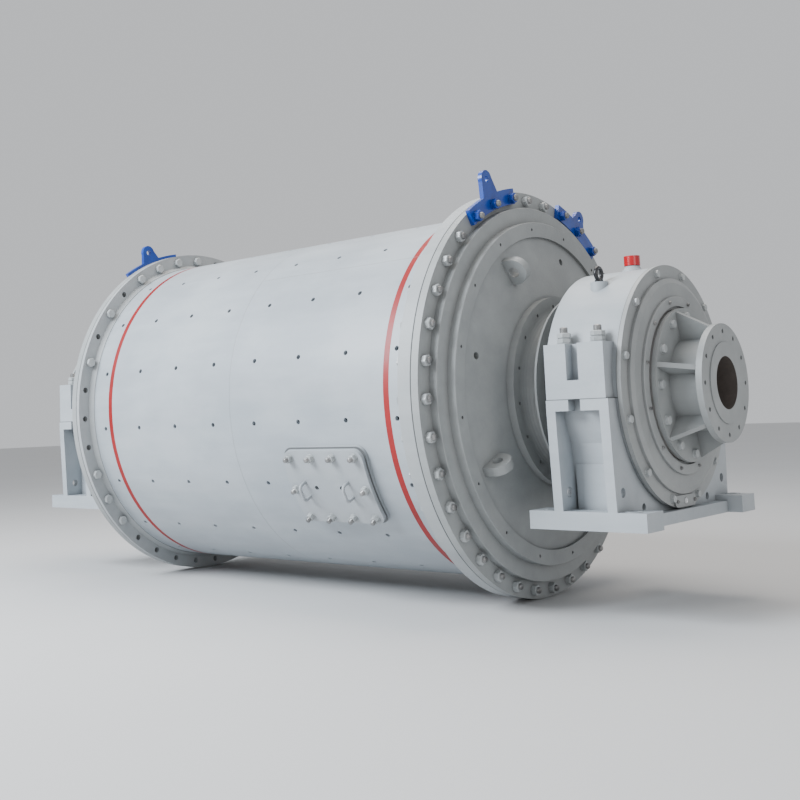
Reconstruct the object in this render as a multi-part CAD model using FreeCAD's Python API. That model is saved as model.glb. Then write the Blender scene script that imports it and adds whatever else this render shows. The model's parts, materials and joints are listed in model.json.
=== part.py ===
import FreeCAD, Part
import math
import os

# Overflow ball mill: bolted drum on two split trunnion bearings.
# Millimetres.  +X runs along the mill axis towards the feed end, +Z is up.
# The origin is the middle of the underside of the feed-end bearing base.

os.makedirs("parts", exist_ok=True)

# ---- overall sizes -------------------------------------------------------
SHELL_R = 1078.0        # outside radius of the shell
SHELL_WALL = 28.0
SHELL_HALF = 1425.0     # mid-shell to a flange joint
JOURNAL_R = 400.0       # trunnion journal
JOURNAL_OUT = 683.0     # flange joint to the middle of the bearing

# ---- shell flanges and the head flanges bolted to them --------------------
FLANGE_R = SHELL_R + 106.0
FEED_FLANGE_T = 85.0
DISCH_FLANGE_T = 31.0
DISCH_NECK_R = SHELL_R + 22.0
DISCH_NECK_L = 34.0
HEAD_FLANGE_T = 47.0
GEAR_PCR = SHELL_R + 56.0   # pitch radius of the flange bolts
GEAR_HOLES = 36
GEAR_HOLE_R = 19.5
GEAR_OFFSET = 7.4
RIM_CHAMFER = 4.0

# ---- liner bolt holes ----------------------------------------------------
LINER_ROWS = 18
LINER_COLS = 8
LINER_HOLE_R = 14.0
LINER_OFFSET = -6.6     # angle of the row next below the axis level

# ---- manhole -------------------------------------------------------------
MAN_S = 702.0
MAN_ANGLE = LINER_OFFSET - 360.0 / LINER_ROWS
MAN_OPEN_LEN = 420.0
MAN_OPEN_ARC = 300.0
MAN_OPEN_R = 60.0
COVER_LEN = 590.0
COVER_ARC = 468.0
COVER_DROP = 6.0        # the cover's middle lies this far below its row of liner holes
COVER_T = 24.0
SEAT_EDGE = 8.0         # seat showing round the cover
SEAT_LEN = COVER_LEN + 2 * SEAT_EDGE
SEAT_ARC = COVER_ARC + 2 * SEAT_EDGE
SEAT_T = 22.0
MAN_CORNER_R = 62.0
COVER_HOLES = (-101.0, 86.0)    # liner holes of the cover, from its middle
HANDLE_S = (-175.0, 145.0)
HANDLE_LEN = 96.0
HANDLE_DROP = 10.0      # handles lie this far below the row of liner holes
HANDLE_H = 56.0
HANDLE_ROD_R = 9.0
HANDLE_BEND_R = 24.0

# ---- heads; heights count outward from the flange joint --------------------
BOSS_R = SHELL_R + 7.0
BOSS_H = 95.0
RING_R = BOSS_R - 93.0
RING_H = 145.0
RECESS_R = RING_R - 87.0
RECESS_DEPTH = 18.0
HEAD_SPIGOT = 6.0       # the head's mouth stands this far inside the shell bore
HEAD_THICK = 60.0
CONE_RISE = 48.0        # from the recess to the trunnion seat
RING_HOLES = 16
RING_HOLE_R = 9.0
RING_HOLE_DEPTH = 40.0
RING_HOLE_PCR = (RING_R + RECESS_R) / 2.0
RING_OFFSET = 14.6
PLUG_HOLE_R = 20.0
PLUG_HOLE_DEPTH = 30.0
PLUG_HOLE_PCR = RECESS_R - 105.0
PLUG_ANGLES = {"feed": (14.0, 104.0), "discharge": (24.0, 114.0)}
LUG_PCR = RECESS_R - 119.0
LUG_ANGLES = (59.0, -29.6)
LUG_W = 150.0
LUG_REACH = 120.0
LUG_T = 50.0
LUG_EYE_R = 30.0

# ---- trunnions -----------------------------------------------------------
NECK_R = JOURNAL_R + 20.0
TRUN_FILLET = 60.0
TRUN_PCR = NECK_R + 71.0
TRUN_FLANGE_R = NECK_R + 125.0
TRUN_FLANGE_T = 43.0
TRUN_HOLES = 16
TRUN_HOLE_R = 10.0
TRUN_HOLE_DEPTH = 30.0
TRUN_OFFSET = 14.8
CONE_R = TRUN_FLANGE_R + 15.0
HEAD_BORE_R = JOURNAL_R - 70.0
TRUN_BORE_R = JOURNAL_R - 160.0
SHIELD_R = NECK_R + 110.0
SHIELD_T = 12.0
SHIELD_GAP = 85.0       # dust shield to the inner cover

# ---- bearing housing -----------------------------------------------------
RUN_GAP = 0.3           # between the journal and the housing bore
BARREL_R = JOURNAL_R + 240.0
BARREL_IN = 215.0       # middle of the bearing to the inner face
BARREL_OUT = 182.0      # and to the outer face
PED_IN = 174.0          # middle of the bearing to the pedestal's inner face
PED_OUT = 168.0         # and to its outer face
PED_HALF_Y = BARREL_R + 55.5    # at the foot
CAP_HALF_Y = BARREL_R + 81.0    # at the split, where the sides have leaned out
SPLIT_Z = -60.0         # split line below the mill axis
PED_FLANGE_T = 58.0
RIB_T = 50.0
WEB_TOP_IN = 95.5       # depth of the side recess at its top
WEB_BOT_IN = 175.5      # and at its bottom
BOX_IN = 135.5
BOX_H = 231.0
BOX_START = 63.0
BLOCK_TOP_Z = 222.0
BLOCK_IN = 170.0
BLOCK_OUT = 157.0
SLOT_W = 66.0
SLOT_D = 68.0
SLOT_BOTTOM_Z = 36.0
SLOT_SHIFT = 16.0        # slot centre this far inboard of the bearing centre
FOOT_HALF_S = 318.0
FOOT_BAR_W = 184.5
FOOT_T = 94.0
FOOT_PLATE_HALF_S = 236.0
FOOT_PLATE_T = 63.0
FOOT_CLEAR = 12.0       # between the barrel and the foot plate
AXIS_Z = FOOT_PLATE_T + FOOT_CLEAR + BARREL_R
HOLD_S = 222.0
HOLD_Y_IN = 66.0        # foundation bolt in from the outer face of the bar
HOLD_HOLE_R = 23.0
HOLD_PAD_R = 42.0
HOLD_PAD_H = 3.0
PORT = (75.5, 186.0, 25.0)      # in from the side, up from the base, radius
DRAIN = (295.5, 97.0, 21.0)
DRAIN_DEPTH = 60.0

# ---- covers on both faces of the housing -----------------------------------
COVER_RIM_R = BARREL_R + 9.0
COVER_RIM_T = 24.0
COVER_STEP1_R = COVER_RIM_R - 74.0
COVER_STEP1_T = 16.0
COVER_STEP2_R = COVER_RIM_R - 100.0
COVER_STEP2_T = 11.0
COVER_STEP3_R = COVER_RIM_R - 174.0
COVER_STEP3_T = 16.0
COVER_MOUTH_R = JOURNAL_R + 22.0
COVER_BORE_GAP = 6.0
INNER_COVER_R = BARREL_R - 40.0
INNER_COVER_T = 18.0
INNER_STEP_R = BARREL_R - 100.0
INNER_STEP_T = 16.0
SIGHT_W = 260.0
SIGHT_H = 62.0
SIGHT_T = 10.0

# ---- hub (feed or discharge spout) ----------------------------------------
HUB_BASE_R = JOURNAL_R + 9.0
HUB_BASE_T = 24.0
HUB_BASE_GAP = 5.0      # behind the hub flange, to the outer cover
HUB_BORE_R = 138.0
HUB_CYL_R = HUB_BORE_R + 107.0
HUB_END_R = HUB_CYL_R + 66.0
HUB_END_T = 32.0
HUB_LENGTH = 218.0
HUB_RING_R = HUB_BORE_R + 75.0
HUB_RING_H = 6.0
HUB_END_PCR = HUB_END_R - 41.0
HUB_END_HOLES = 12
HUB_END_HOLE_R = 12.0
GUSSETS = 6
GUSSET_OFFSET = 15.0
GUSSET_T = 26.0

# ---- trim on the cap ------------------------------------------------------
EYE_Y = 345.0
EYE_IN = 30.0           # in from the middle of the bearing
EYE_BOSS_R = 46.0
EYE_BOSS_H = 20.0
EYE_RING_R = 33.0
EYE_ROD_R = 11.0
EYE_SHANK_R = 22.0
EYE_SHANK_H = 12.0
BREATHER_R = 43.0
BREATHER_STEM_R = 22.0
BREATHER_STEM_H = 31.0
BREATHER_H = 54.0

# ---- blue lifting brackets -------------------------------------------------
BRACKET_ANGLES = (68.5, 118.5)
BRACKET_HALF = 12.2
BRACKET_HALF_OUT = FLANGE_R + 20.0 - GEAR_PCR   # plate outward of the bolt circle
BRACKET_HALF_IN = 22.0                          # and inward of it
BRACKET_R0 = GEAR_PCR - BRACKET_HALF_IN
BRACKET_R1 = GEAR_PCR + BRACKET_HALF_OUT
BRACKET_T = 26.0
BRACKET_REACH = {"feed": (90.0, 38.0), "discharge": (60.0, 38.0)}   # eye beyond the plate
BRACKET_TIP_R = 52.0
BRACKET_HOLE_R = 19.0
BRACKET_NECK = 78.0

# ---- stations out from mid-shell -------------------------------------------
BEARING_S = SHELL_HALF + JOURNAL_OUT
BOSS_S = SHELL_HALF + BOSS_H
RING_S = SHELL_HALF + RING_H
RECESS_S = RING_S - RECESS_DEPTH
CONE_S = RECESS_S + CONE_RISE
TRUN_FLANGE_S = CONE_S + TRUN_FLANGE_T
BARREL_S0 = BEARING_S - BARREL_IN
BARREL_S1 = BEARING_S + BARREL_OUT
INNER_COVER_S = BARREL_S0 - INNER_COVER_T - INNER_STEP_T
SHIELD_S = INNER_COVER_S - SHIELD_GAP
JOURNAL_S0 = INNER_COVER_S - 44.0
OUTER_COVER_S = BARREL_S1 + COVER_RIM_T + COVER_STEP1_T + COVER_STEP2_T + COVER_STEP3_T
TRUN_END_S = OUTER_COVER_S + HUB_BASE_GAP
HUB_END_S = TRUN_END_S + HUB_LENGTH

V = FreeCAD.Vector
XDIR = V(1, 0, 0)
ZDIR = V(0, 0, 1)
MID_X = -BEARING_S


def world_x(s, sign):
    """Frame X of a station s mm out from mid-shell on one side."""
    return MID_X + sign * s


def on_drum(s, sign, angle, r):
    """Point at radius r; angle 0 faces -Y, 90 is up."""
    a = math.radians(angle)
    return V(world_x(s, sign), -r * math.cos(a), AXIS_Z + r * math.sin(a))


def revolve(profile, sign):
    """Solid of revolution about the mill axis from (s, r) pairs."""
    pts = [V(world_x(s, sign), 0, AXIS_Z + r) for s, r in profile]
    face = Part.Face(Part.makePolygon(pts + [pts[0]]))
    solid = face.revolve(V(0, 0, AXIS_Z), XDIR, 360)
    return Part.Solid(solid.Shells[0]) if solid.Volume < 0 else solid


def rod(s0, s1, r, sign, y=0.0, z=0.0):
    """Round bar along the mill axis between two stations."""
    x0 = min(world_x(s0, sign), world_x(s1, sign))
    return Part.makeCylinder(r, abs(s1 - s0), V(x0, y, AXIS_Z + z), XDIR)


def ring_of_rods(s0, s1, r, sign, pcr, count, offset):
    """Equal bars along the mill axis, evenly spaced on a pitch circle."""
    bars = []
    for i in range(count):
        a = math.radians(offset + 360.0 * i / count)
        bars.append(rod(s0, s1, r, sign, -pcr * math.cos(a), pcr * math.sin(a)))
    return Part.makeCompound(bars)


def block(s0, s1, y0, y1, z0, z1, sign):
    """Box between stations s0 and s1; z counts from the mill axis."""
    x0 = min(world_x(s0, sign), world_x(s1, sign))
    return Part.makeBox(abs(s1 - s0), y1 - y0, z1 - z0, V(x0, y0, AXIS_Z + z0))


def prism(points, direction):
    face = Part.Face(Part.makePolygon(points + [points[0]]))
    return face.extrude(direction)


def save(shape, node):
    solids = shape.Solids
    body = solids[0] if len(solids) == 1 else Part.makeCompound(solids)
    body.exportStep("parts/" + node + ".step")


def rounded_window(length, arc, corner, r_in, r_out):
    """Curved plate with rounded corners, wrapped on the drum at the manhole."""
    half_s = length / 2.0
    half_y = arc / 2.0
    tool = Part.makeBox(length, arc, r_out + 200.0, V(-half_s, -half_y, 0))
    edges = [e for e in tool.Edges if abs(e.BoundBox.ZLength - r_out - 200.0) < 1e-6]
    tool = tool.makeFillet(corner, edges)
    tube = Part.makeCylinder(r_out, length + 20, V(-half_s - 10, 0, 0), XDIR)
    tube = tube.cut(Part.makeCylinder(r_in, length + 40, V(-half_s - 20, 0, 0), XDIR))
    plate = tube.common(tool)
    return place_at_manhole(plate, COVER_DROP)


def place_at_manhole(shape, drop=0.0):
    """Turn a shape built on top of the drum (+Z out) to the manhole's place."""
    shape = shape.copy()
    shape.rotate(V(0, 0, 0), XDIR, 90.0 - MAN_ANGLE + math.degrees(drop / SHELL_R))
    shape.translate(V(world_x(MAN_S, 1), 0, AXIS_Z))
    return shape


# ---- shell -----------------------------------------------------------------
bore_r = SHELL_R - SHELL_WALL
shell = rod(-SHELL_HALF, SHELL_HALF, SHELL_R, 1)
shell = shell.cut(rod(-SHELL_HALF - 10, SHELL_HALF + 10, bore_r, 1))
cutters = []
pitch = 2 * SHELL_HALF / LINER_COLS
for row in range(LINER_ROWS):
    angle = LINER_OFFSET - 360.0 / LINER_ROWS * row
    manhole_row = row == 1
    for col in range(LINER_COLS):
        s = -SHELL_HALF + (col + 0.5) * pitch
        if manhole_row and abs(s - MAN_S) < SEAT_LEN / 2:
            continue
        inner = on_drum(s, 1, angle, bore_r - 30)
        outward = on_drum(s, 1, angle, SHELL_R + 30) - inner
        cutters.append(Part.makeCylinder(LINER_HOLE_R, outward.Length, inner, outward))
cutters.append(rounded_window(MAN_OPEN_LEN, MAN_OPEN_ARC, MAN_OPEN_R, bore_r - 40, SHELL_R + 40))
shell = shell.cut(cutters)
save(shell, "shell")

# ---- manhole -----------------------------------------------------------------
seat_r = SHELL_R + SEAT_T
cover_r = seat_r + COVER_T
seat = rounded_window(SEAT_LEN, SEAT_ARC, MAN_CORNER_R, SHELL_R, seat_r)
seat = seat.cut(rounded_window(MAN_OPEN_LEN, MAN_OPEN_ARC, MAN_OPEN_R, SHELL_R - 20, seat_r + 20))
save(seat, "manhole_seat")
cover = rounded_window(COVER_LEN, COVER_ARC, MAN_CORNER_R, seat_r, cover_r)
holes = []
for ds in COVER_HOLES:
    hole = Part.makeCylinder(LINER_HOLE_R, 200, V(ds, 0, cover_r - 100), ZDIR)
    holes.append(place_at_manhole(hole))
cover = cover.cut(holes)
save(cover, "manhole_cover")
handles = []
for x in HANDLE_S:
    half = HANDLE_LEN / 2.0
    foot_z = cover_r - half * half / (2 * cover_r) - HANDLE_ROD_R
    top_z = cover_r + HANDLE_H
    corner = HANDLE_BEND_R
    wire = Part.Wire([
        Part.makeLine(V(x, -half, foot_z), V(x, -half, top_z - corner)),
        Part.Arc(V(x, -half, top_z - corner),
                 V(x, -half + corner * (1 - math.sqrt(0.5)), top_z - corner * (1 - math.sqrt(0.5))),
                 V(x, -half + corner, top_z)).toShape(),
        Part.makeLine(V(x, -half + corner, top_z), V(x, half - corner, top_z)),
        Part.Arc(V(x, half - corner, top_z),
                 V(x, half - corner * (1 - math.sqrt(0.5)), top_z - corner * (1 - math.sqrt(0.5))),
                 V(x, half, top_z - corner)).toShape(),
        Part.makeLine(V(x, half, top_z - corner), V(x, half, foot_z)),
    ])
    start = Part.Wire(Part.makeCircle(HANDLE_ROD_R, V(x, -half, foot_z), ZDIR))
    handles.append(wire.makePipeShell([start], True, True))
handles = place_at_manhole(Part.makeCompound(handles), HANDLE_DROP)
drum_under_handles = rod(MAN_S - 400, MAN_S + 400, cover_r, 1)
handles = Part.makeCompound([h.cut(drum_under_handles) for h in handles.Solids])
save(handles, "manhole_handles")

# ---- shell flanges -----------------------------------------------------------
feed_flange = revolve([
    (SHELL_HALF - FEED_FLANGE_T, SHELL_R), (SHELL_HALF, SHELL_R),
    (SHELL_HALF, FLANGE_R - RIM_CHAMFER), (SHELL_HALF - RIM_CHAMFER, FLANGE_R),
    (SHELL_HALF - FEED_FLANGE_T + RIM_CHAMFER, FLANGE_R),
    (SHELL_HALF - FEED_FLANGE_T, FLANGE_R - RIM_CHAMFER)], 1)
save(feed_flange, "feed_shell_flange")
disch_flange = revolve([
    (SHELL_HALF - DISCH_FLANGE_T - DISCH_NECK_L, SHELL_R), (SHELL_HALF, SHELL_R),
    (SHELL_HALF, FLANGE_R - RIM_CHAMFER), (SHELL_HALF - RIM_CHAMFER, FLANGE_R),
    (SHELL_HALF - DISCH_FLANGE_T, FLANGE_R), (SHELL_HALF - DISCH_FLANGE_T, DISCH_NECK_R),
    (SHELL_HALF - DISCH_FLANGE_T - DISCH_NECK_L, SHELL_R + 4)], -1)
gear_holes = ring_of_rods(SHELL_HALF - DISCH_FLANGE_T - 10, SHELL_HALF + HEAD_FLANGE_T + 10,
                          GEAR_HOLE_R, -1, GEAR_PCR, GEAR_HOLES, GEAR_OFFSET)
save(disch_flange.cut(gear_holes), "discharge_shell_flange")


def bracket(angle, reach, sign):
    """Arc plate over three flange bolts with a rounded eye standing off it."""
    s0 = SHELL_HALF + HEAD_FLANGE_T
    half = math.radians(BRACKET_HALF)
    x = world_x(s0, sign)
    thick = V(sign * BRACKET_T, 0, 0)

    def at(r, a):
        return V(x, r * math.sin(a), AXIS_Z + r * math.cos(a))

    sector = Part.Wire([
        Part.Arc(at(BRACKET_R1, -half), at(BRACKET_R1, 0), at(BRACKET_R1, half)).toShape(),
        Part.makeLine(at(BRACKET_R1, half), at(BRACKET_R0, half)),
        Part.Arc(at(BRACKET_R0, half), at(BRACKET_R0, 0), at(BRACKET_R0, -half)).toShape(),
        Part.makeLine(at(BRACKET_R0, -half), at(BRACKET_R1, -half)),
    ])
    plate = Part.Face(sector).extrude(thick)
    tip = BRACKET_TIP_R
    top = AXIS_Z + BRACKET_R1 + reach
    base = AXIS_Z + (BRACKET_R0 + BRACKET_R1) / 2.0
    tongue = prism([V(x, -tip, top), V(x, tip, top), V(x, BRACKET_NECK, AXIS_Z + BRACKET_R1 - 4),
                    V(x, BRACKET_NECK, base), V(x, -BRACKET_NECK, base),
                    V(x, -BRACKET_NECK, AXIS_Z + BRACKET_R1 - 4)], thick)
    eye = Part.makeCylinder(tip, BRACKET_T, V(x, 0, top), thick)
    hole = Part.makeCylinder(BRACKET_HOLE_R, BRACKET_T * 3, V(x, 0, top) - thick, thick)
    shape = plate.fuse([tongue, eye]).removeSplitter().cut(hole)
    shape.rotate(V(0, 0, AXIS_Z), XDIR, 90.0 - angle)
    return shape


# ---- the two ends ----------------------------------------------------------
for end, sign in (("feed", 1), ("discharge", -1)):
    head_s0 = SHELL_HALF
    head = revolve([
        (head_s0, bore_r - HEAD_SPIGOT), (head_s0, FLANGE_R - RIM_CHAMFER),
        (head_s0 + RIM_CHAMFER, FLANGE_R), (head_s0 + HEAD_FLANGE_T, FLANGE_R),
        (head_s0 + HEAD_FLANGE_T, BOSS_R), (BOSS_S - 3, BOSS_R), (BOSS_S, BOSS_R - 3),
        (BOSS_S, RING_R), (RING_S - 3, RING_R), (RING_S, RING_R - 3),
        (RING_S, RECESS_R), (RECESS_S, RECESS_R),
        (CONE_S, CONE_R), (CONE_S, HEAD_BORE_R),
        (CONE_S - HEAD_THICK, HEAD_BORE_R), (CONE_S - HEAD_THICK, CONE_R),
        (RECESS_S - HEAD_THICK, RECESS_R)], sign)
    cuts = [ring_of_rods(RING_S - RING_HOLE_DEPTH, RING_S + 10, RING_HOLE_R, sign,
                         RING_HOLE_PCR, RING_HOLES, RING_OFFSET)]
    for angle in PLUG_ANGLES[end]:
        a = math.radians(angle)
        cuts.append(rod(RECESS_S - PLUG_HOLE_DEPTH, CONE_S + 40, PLUG_HOLE_R, sign,
                        -PLUG_HOLE_PCR * math.cos(a), PLUG_HOLE_PCR * math.sin(a)))
    if end == "discharge":
        cuts.append(gear_holes)
    head = head.cut(cuts)
    save(head, end + "_head")

    # lifting lugs on the cone of the head
    slope = (CONE_S - RECESS_S) / (RECESS_R - CONE_R)
    lug_s = RECESS_S + (RECESS_R - LUG_PCR) * slope
    lugs = []
    for angle in LUG_ANGLES:
        half = LUG_W / 2.0
        root = lug_s - 30.0
        reach = lug_s + LUG_REACH
        x0, x1, x2 = (world_x(v, sign) for v in (root, reach - half, reach))
        face = Part.Face(Part.Wire([
            Part.makeLine(V(x0, -LUG_T / 2, LUG_PCR - half), V(x1, -LUG_T / 2, LUG_PCR - half)),
            Part.Arc(V(x1, -LUG_T / 2, LUG_PCR - half), V(x2, -LUG_T / 2, LUG_PCR),
                     V(x1, -LUG_T / 2, LUG_PCR + half)).toShape(),
            Part.makeLine(V(x1, -LUG_T / 2, LUG_PCR + half), V(x0, -LUG_T / 2, LUG_PCR + half)),
            Part.makeLine(V(x0, -LUG_T / 2, LUG_PCR + half), V(x0, -LUG_T / 2, LUG_PCR - half)),
        ]))
        lug = face.extrude(V(0, LUG_T, 0))
        lug = lug.cut(Part.makeCylinder(LUG_EYE_R, LUG_T * 3, V(x1, -LUG_T * 1.5, LUG_PCR), V(0, 1, 0)))
        lug.rotate(V(0, 0, 0), XDIR, 90.0 - angle)
        lug.translate(V(0, 0, AXIS_Z))
        lugs.append(lug.cut(head))
    lugs = Part.makeCompound([max(shape.Solids, key=lambda b: b.Volume) for shape in lugs])
    save(lugs, end + "_head_lugs")

    brackets = [bracket(a, reach, sign) for a, reach in zip(BRACKET_ANGLES, BRACKET_REACH[end])]
    save(Part.makeCompound(brackets), end + "_lifting_brackets")

    # trunnion
    arc = [(TRUN_FLANGE_S, NECK_R + TRUN_FILLET)]
    for i in range(1, 6):
        t = math.radians(90.0 * i / 6)
        arc.append((TRUN_FLANGE_S + TRUN_FILLET * (1 - math.cos(t)),
                    NECK_R + TRUN_FILLET * (1 - math.sin(t))))
    arc.append((TRUN_FLANGE_S + TRUN_FILLET, NECK_R))
    trunnion = revolve(
        [(CONE_S, TRUN_BORE_R), (CONE_S, TRUN_FLANGE_R), (TRUN_FLANGE_S, TRUN_FLANGE_R)] + arc +
        [(SHIELD_S - SHIELD_T, NECK_R), (SHIELD_S - SHIELD_T, SHIELD_R), (SHIELD_S, SHIELD_R),
         (SHIELD_S, NECK_R),
         (JOURNAL_S0, NECK_R), (JOURNAL_S0, JOURNAL_R), (TRUN_END_S, JOURNAL_R),
         (TRUN_END_S, TRUN_BORE_R)], sign)
    trunnion = trunnion.cut(ring_of_rods(TRUN_FLANGE_S - TRUN_HOLE_DEPTH, TRUN_FLANGE_S + 5,
                                         TRUN_HOLE_R, sign, TRUN_PCR, TRUN_HOLES, TRUN_OFFSET))
    save(trunnion, end + "_trunnion")

    # hub with its ribs
    base_s1 = TRUN_END_S + HUB_BASE_T
    hub = revolve([
        (TRUN_END_S, HUB_BORE_R), (TRUN_END_S, HUB_BASE_R), (base_s1, HUB_BASE_R),
        (base_s1, HUB_CYL_R), (HUB_END_S - HUB_END_T, HUB_CYL_R), (HUB_END_S - HUB_END_T, HUB_END_R),
        (HUB_END_S, HUB_END_R), (HUB_END_S, HUB_RING_R), (HUB_END_S + HUB_RING_H, HUB_RING_R),
        (HUB_END_S + HUB_RING_H, HUB_BORE_R)], sign)
    ribs = []
    for i in range(GUSSETS):
        angle = GUSSET_OFFSET + 360.0 * i / GUSSETS
        xa, xb = world_x(base_s1 - 2, sign), world_x(HUB_END_S - HUB_END_T + 2, sign)
        rib = prism([V(xa, -GUSSET_T / 2, HUB_CYL_R - 10), V(xa, -GUSSET_T / 2, HUB_BASE_R - 8),
                     V(xb, -GUSSET_T / 2, HUB_END_R - 6), V(xb, -GUSSET_T / 2, HUB_CYL_R - 10)],
                    V(0, GUSSET_T, 0))
        rib.rotate(V(0, 0, 0), XDIR, 90.0 - angle)
        rib.translate(V(0, 0, AXIS_Z))
        ribs.append(rib)
    hub = hub.fuse(ribs).removeSplitter()
    hub = hub.cut(ring_of_rods(HUB_END_S - HUB_END_T - 4, HUB_END_S + 4, HUB_END_HOLE_R, sign,
                               HUB_END_PCR, HUB_END_HOLES, 0.0))
    save(hub, end + "_hub")

    # bearing base: two bars joined by a thinner plate
    ped_s0 = BEARING_S - PED_IN
    ped_s1 = BEARING_S + PED_OUT
    foot_z0 = -AXIS_Z
    foot_z1 = foot_z0 + FOOT_T
    bar_y = PED_HALF_Y - FOOT_BAR_W
    base = block(BEARING_S - FOOT_HALF_S, BEARING_S + FOOT_HALF_S, -PED_HALF_Y, -bar_y,
                 foot_z0, foot_z1, sign)
    other = block(BEARING_S - FOOT_HALF_S, BEARING_S + FOOT_HALF_S, bar_y, PED_HALF_Y,
                  foot_z0, foot_z1, sign)
    plate_z1 = foot_z0 + FOOT_PLATE_T
    plate = block(BEARING_S - FOOT_PLATE_HALF_S, BEARING_S + FOOT_PLATE_HALF_S,
                  -bar_y, bar_y, foot_z0, plate_z1, sign)
    pads = []
    hold = []
    for ds in (-HOLD_S, HOLD_S):
        for y in (HOLD_Y_IN - PED_HALF_Y, PED_HALF_Y - HOLD_Y_IN):
            centre = V(world_x(BEARING_S + ds, sign), y, FOOT_T)
            pads.append(Part.makeCylinder(HOLD_PAD_R, HOLD_PAD_H, centre, ZDIR))
            hold.append(Part.makeCylinder(HOLD_HOLE_R, FOOT_T * 2, centre - V(0, 0, FOOT_T * 1.5), ZDIR))
    base = base.fuse([other, plate] + pads).removeSplitter().cut(hold)
    save(base, end + "_bearing_base")

    # pedestal: lower half of the housing
    split_s0, split_s1 = BARREL_S0, BARREL_S1
    pad_fill = block(ped_s0, ped_s1, -bar_y, bar_y, plate_z1, foot_z1, sign)
    flange_z0 = SPLIT_Z - PED_FLANGE_T
    x0 = min(world_x(ped_s0, sign), world_x(ped_s1, sign))
    outline = [(-PED_HALF_Y, foot_z1), (PED_HALF_Y, foot_z1), (CAP_HALF_Y, flange_z0),
               (CAP_HALF_Y, SPLIT_Z), (-CAP_HALF_Y, SPLIT_Z), (-CAP_HALF_Y, flange_z0)]
    column = prism([V(x0, y, AXIS_Z + z) for y, z in outline], V(ped_s1 - ped_s0, 0, 0))
    recess = []
    for side in (-1, 1):
        y_top = side * (PED_HALF_Y - WEB_TOP_IN)
        y_bot = side * (PED_HALF_Y - WEB_BOT_IN)
        y_out = side * (CAP_HALF_Y + 20)
        x0 = min(world_x(ped_s0 + RIB_T, sign), world_x(ped_s1 - RIB_T, sign))
        span = abs(ped_s1 - ped_s0) - 2 * RIB_T
        recess.append(prism([V(x0, y_top, AXIS_Z + flange_z0), V(x0, y_out, AXIS_Z + flange_z0),
                             V(x0, y_out, AXIS_Z + foot_z1), V(x0, y_bot, AXIS_Z + foot_z1)],
                            V(span, 0, 0)))
    column = column.cut(recess)
    boxes = []
    for side in (-1, 1):
        y0, y1 = sorted((side * (PED_HALF_Y - WEB_BOT_IN - 60), side * (PED_HALF_Y - BOX_IN)))
        boxes.append(block(ped_s0 + BOX_START, ped_s1 - RIB_T, y0, y1, foot_z1, foot_z1 + BOX_H, sign))
    lower = rod(split_s0, split_s1, BARREL_R, sign)
    lower = lower.common(block(split_s0 - 5, split_s1 + 5, -AXIS_Z, AXIS_Z, -AXIS_Z, SPLIT_Z, sign))
    pedestal = column.fuse([pad_fill, lower] + boxes)
    slot_mid = BEARING_S - SLOT_SHIFT
    notch = []
    for side in (-1, 1):
        y0, y1 = sorted((side * (CAP_HALF_Y - SLOT_D), side * (CAP_HALF_Y + 10)))
        notch.append(block(slot_mid - SLOT_W / 2, slot_mid + SLOT_W / 2, y0, y1,
                           flange_z0 - 1, SPLIT_Z + 1, sign))
    ports = []
    for side in (-1, 1):
        for s0, s1, (y_in, up, r) in ((ped_s0 - 5, ped_s0 + RIB_T + 5, PORT),
                                      (ped_s1 - RIB_T - 5, ped_s1 + 5, PORT),
                                      (ped_s1 - DRAIN_DEPTH, ped_s1 + 5, DRAIN)):
            ports.append(rod(s0, s1, r, sign, side * (PED_HALF_Y - y_in), up - AXIS_Z))
    bore = rod(split_s0 - 5, split_s1 + 5, JOURNAL_R + RUN_GAP, sign)
    pedestal = pedestal.removeSplitter().cut([bore] + notch + ports)
    save(pedestal, end + "_bearing_pedestal")

    # cap: upper half of the housing with the two bolt blocks
    upper = rod(split_s0, split_s1, BARREL_R, sign)
    upper = upper.common(block(split_s0 - 5, split_s1 + 5, -AXIS_Z, AXIS_Z, SPLIT_Z, AXIS_Z, sign))
    blocks = []
    for side in (-1, 1):
        y0, y1 = sorted((side * (JOURNAL_R + 20.0), side * CAP_HALF_Y))
        blocks.append(block(BEARING_S - BLOCK_IN, BEARING_S + BLOCK_OUT, y0, y1,
                            SPLIT_Z, BLOCK_TOP_Z, sign))
    cap = upper.fuse(blocks)
    slots = []
    for side in (-1, 1):
        y0, y1 = sorted((side * (CAP_HALF_Y - SLOT_D), side * (CAP_HALF_Y + 10)))
        slots.append(block(slot_mid - SLOT_W / 2, slot_mid + SLOT_W / 2, y0, y1,
                           SLOT_BOTTOM_Z, BLOCK_TOP_Z + 5, sign))
    crown_z = math.sqrt(BARREL_R ** 2 - EYE_Y ** 2)
    eye_x = world_x(BEARING_S - EYE_IN, sign)
    bosses = []
    for side in (-1, 1):
        foot = V(eye_x, side * EYE_Y, AXIS_Z + crown_z - 60)
        bosses.append(Part.makeCylinder(EYE_BOSS_R, 60 + EYE_BOSS_H, foot, ZDIR))
    cap = cap.fuse(bosses).removeSplitter().cut([bore] + slots)
    save(cap, end + "_bearing_cap")

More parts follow.
